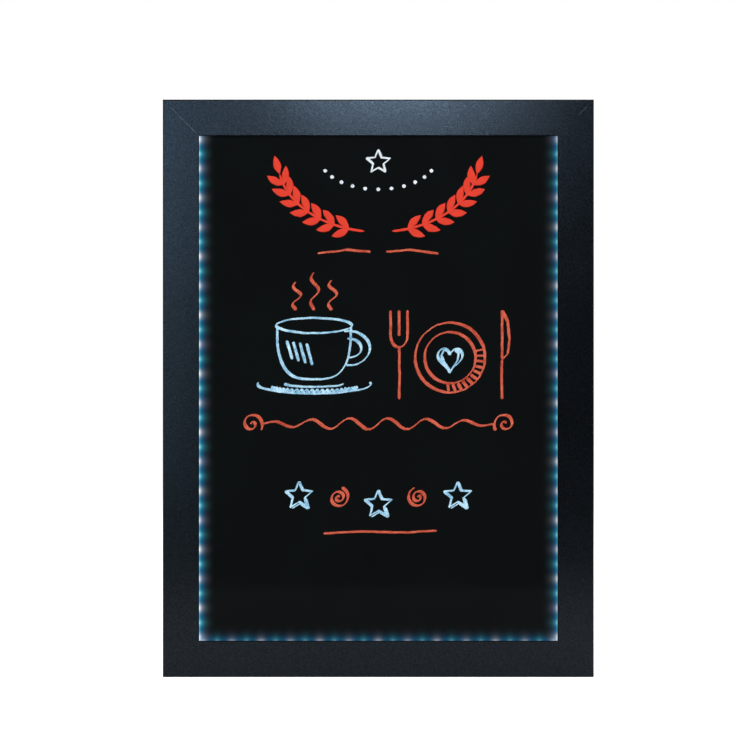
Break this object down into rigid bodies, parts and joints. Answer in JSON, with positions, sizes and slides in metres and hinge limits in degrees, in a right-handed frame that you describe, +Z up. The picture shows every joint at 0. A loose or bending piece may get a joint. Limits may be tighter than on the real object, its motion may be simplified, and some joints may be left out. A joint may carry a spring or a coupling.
{
  "type": "edge-lit writing board",
  "caption": "Edge-lit writing board: a clear erasable panel on black in a mitred frame, lit along its edges, with a control pod, hanger rings and turn buttons at the back.",
  "frame": {"origin": "on the surface the board stands on, under the middle of its width and of its depth", "axes": "+Z up along the board's height, +Y from the front face to the wall, +X to the viewer's right"},
  "size_m": [0.456, 0.026, 0.611],
  "materials": {
    "powder_coat": "matte",
    "key_alloy": "satin",
    "zinc_steel": "satin",
    "ring_steel": "polished",
    "acrylic": "gloss",
    "black_sheet": "matte",
    "back_board": "matte",
    "rubber": "matte",
    "strip_laminate": "satin",
    "lamp_resin": "gloss",
    "chip_epoxy": "matte",
    "jumper_wire": "satin",
    "lead_wire": "satin",
    "clip_nylon": "matte",
    "case_abs": "matte",
    "circuit_laminate": "satin",
    "capacitor_can": "satin",
    "switch_plastic": "satin",
    "contact_brass": "polished",
    "switch_can": "satin",
    "slider_nylon": "satin",
    "button_abs": "matte"
  },
  "bodies": {
    "board": {"rail_top": "powder_coat", "rail_bottom": "powder_coat", "rail_left": "powder_coat", "rail_right": "powder_coat", "corner_key_top_left": "key_alloy", "corner_key_top_right": "key_alloy", "corner_key_bottom_left": "key_alloy", "corner_key_bottom_right": "key_alloy", "corner_key_screws": "zinc_steel", "case_screws": "zinc_steel", "board_screws": "zinc_steel", "hanger_screws": "zinc_steel", "turn_button_screws": "zinc_steel", "hanger_strap_left": "zinc_steel", "hanger_strap_right": "zinc_steel", "writing_panel": "acrylic", "backing_sheet": "black_sheet", "back_panel": "back_board", "setting_blocks": "rubber", "wall_bumpers": "rubber", "cable_grommet": "rubber", "led_board_left": "strip_laminate", "led_board_right": "strip_laminate", "led_board_bottom": "strip_laminate", "led_lamps_left": "lamp_resin", "led_lamps_right": "lamp_resin", "led_lamps_bottom": "lamp_resin", "strip_resistors": "chip_epoxy", "driver_chip": "chip_epoxy", "power_transistors": "chip_epoxy", "corner_jumper_left": "jumper_wire", "corner_jumper_right": "jumper_wire", "strip_lead": "lead_wire", "lead_clip": "clip_nylon", "control_case": "case_abs", "control_cover": "case_abs", "control_board": "circuit_laminate", "capacitor": "capacitor_can", "tact_switches": "switch_plastic", "dc_jack": "switch_plastic", "dc_jack_pin": "contact_brass", "slide_switch_body": "switch_can"},
    "slider": {"power_slider": "slider_nylon"},
    "mode_key": {"mode_button": "button_abs", "mode_plunger": "switch_plastic"},
    "slower_key": {"slower_button": "button_abs", "slower_plunger": "switch_plastic"},
    "faster_key": {"faster_button": "button_abs", "faster_plunger": "switch_plastic"},
    "ring_left": {"hanger_ring_left": "ring_steel"},
    "ring_right": {"hanger_ring_right": "ring_steel"},
    "turn_top": {"turn_button_top": "zinc_steel"},
    "turn_bottom": {"turn_button_bottom": "zinc_steel"},
    "turn_left_upper": {"turn_button_left_upper": "zinc_steel"},
    "turn_left_lower": {"turn_button_left_lower": "zinc_steel"},
    "turn_right_upper": {"turn_button_right_upper": "zinc_steel"},
    "turn_right_lower": {"turn_button_right_lower": "zinc_steel"}
  },
  "joints": [
    {"name": "power_slide", "type": "slide", "parent": "board", "child": "slider", "axis": [1, 0, 0], "range_m": [0, 0.003]},
    {"name": "mode_press", "type": "slide", "parent": "board", "child": "mode_key", "axis": [0, -1, 0], "range_m": [0, 0.0006], "stiffness_N_per_m": 500},
    {"name": "slower_press", "type": "slide", "parent": "board", "child": "slower_key", "axis": [0, -1, 0], "range_m": [0, 0.0006], "stiffness_N_per_m": 500},
    {"name": "faster_press", "type": "slide", "parent": "board", "child": "faster_key", "axis": [0, -1, 0], "range_m": [0, 0.0006], "stiffness_N_per_m": 500},
    {"name": "ring_left_swing", "type": "hinge", "parent": "board", "child": "ring_left", "pos_m": [-0.2045, 0.00045, 0.521], "axis": [1, 0, 0], "range_deg": [0, 180]},
    {"name": "ring_right_swing", "type": "hinge", "parent": "board", "child": "ring_right", "pos_m": [0.2045, 0.00045, 0.521], "axis": [1, 0, 0], "range_deg": [0, 180]},
    {"name": "turn_top_pivot", "type": "hinge", "parent": "board", "child": "turn_top", "pos_m": [0, -0.00155, 0.589], "axis": [0, 1, 0], "range_deg": [0, 90]},
    {"name": "turn_bottom_pivot", "type": "hinge", "parent": "board", "child": "turn_bottom", "pos_m": [0, -0.00155, 0.022], "axis": [0, 1, 0], "range_deg": [0, 90]},
    {"name": "turn_left_upper_pivot", "type": "hinge", "parent": "board", "child": "turn_left_upper", "pos_m": [-0.206, -0.00155, 0.461], "axis": [0, 1, 0], "range_deg": [0, 90]},
    {"name": "turn_left_lower_pivot", "type": "hinge", "parent": "board", "child": "turn_left_lower", "pos_m": [-0.206, -0.00155, 0.15], "axis": [0, 1, 0], "range_deg": [0, 90]},
    {"name": "turn_right_upper_pivot", "type": "hinge", "parent": "board", "child": "turn_right_upper", "pos_m": [0.206, -0.00155, 0.461], "axis": [0, -1, 0], "range_deg": [0, 90]},
    {"name": "turn_right_lower_pivot", "type": "hinge", "parent": "board", "child": "turn_right_lower", "pos_m": [0.206, -0.00155, 0.15], "axis": [0, -1, 0], "range_deg": [0, 90]}
  ]
}
